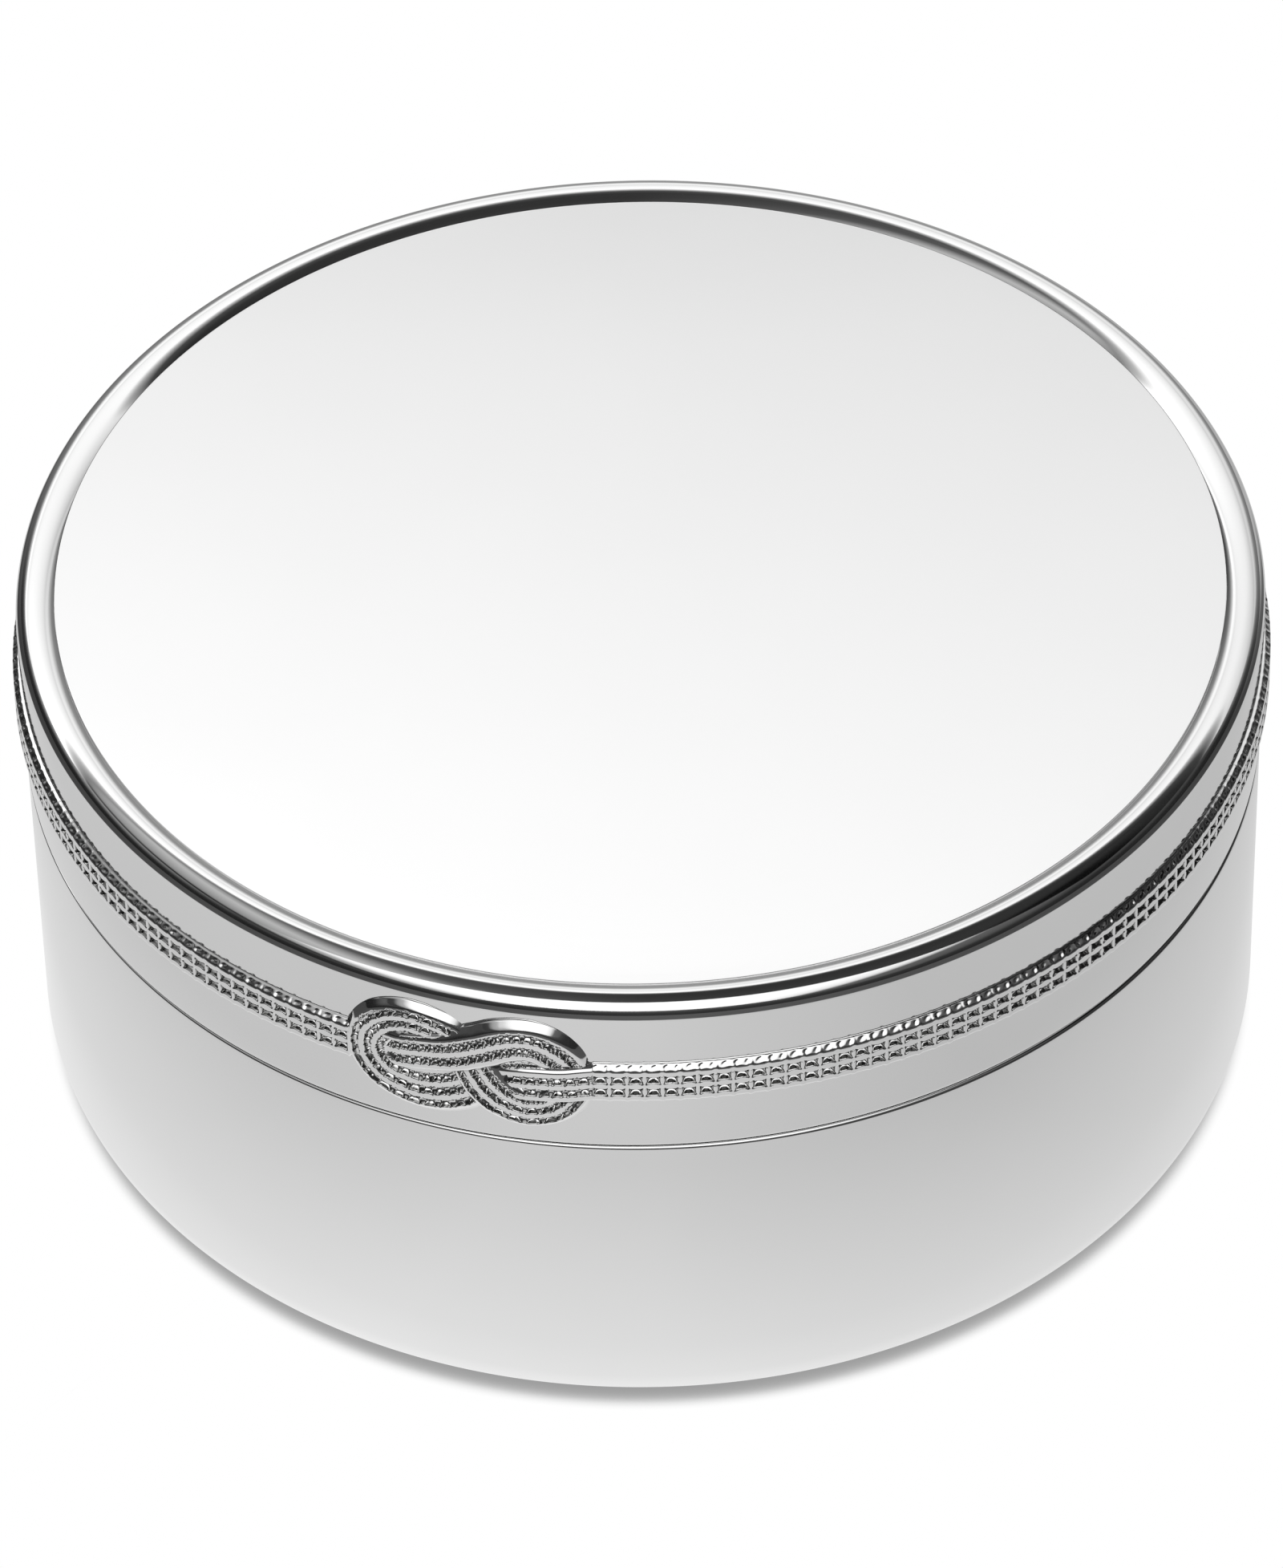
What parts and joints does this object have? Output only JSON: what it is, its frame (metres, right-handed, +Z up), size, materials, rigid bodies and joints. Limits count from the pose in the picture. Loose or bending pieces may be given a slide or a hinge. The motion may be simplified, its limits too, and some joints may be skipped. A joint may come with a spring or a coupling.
{
  "type": "round keepsake box",
  "caption": "Round polished metal keepsake box with a lift-off lid, mirror top, rope band tied in a figure-eight knot, and a velvet-lined inside.",
  "frame": {"origin": "centre of the felt underside that the box stands on", "axes": "+Z up through the lid, -Y towards the knot at the front, +X to the right seen from the front"},
  "size_m": [0.1284, 0.1301, 0.0567],
  "materials": {
    "silver_plate": "polished silver plate",
    "mirror_plate": "mirror-polished silver plate",
    "velvet": "short-pile velvet",
    "card": "pressed grey card",
    "felt": "pressed felt"
  },
  "bodies": {
    "base": {"base_felt": "felt", "base_shell": "silver_plate", "base_collar": "silver_plate", "base_wall_lining": "velvet", "base_floor_board": "card", "base_floor_pad": "velvet"},
    "lid": {"lid_skirt": "silver_plate", "lid_top_plate": "mirror_plate", "lid_lining_board": "card", "lid_lining_pad": "velvet", "rope_cord_lower": "silver_plate", "rope_cord_middle": "silver_plate", "rope_cord_upper": "silver_plate", "knot_ornament": "silver_plate"}
  },
  "joints": [
    {"name": "lid_lift", "type": "slide", "parent": "base", "child": "lid", "axis": [0, 0, 1], "range_m": [0, 0.1]}
  ]
}
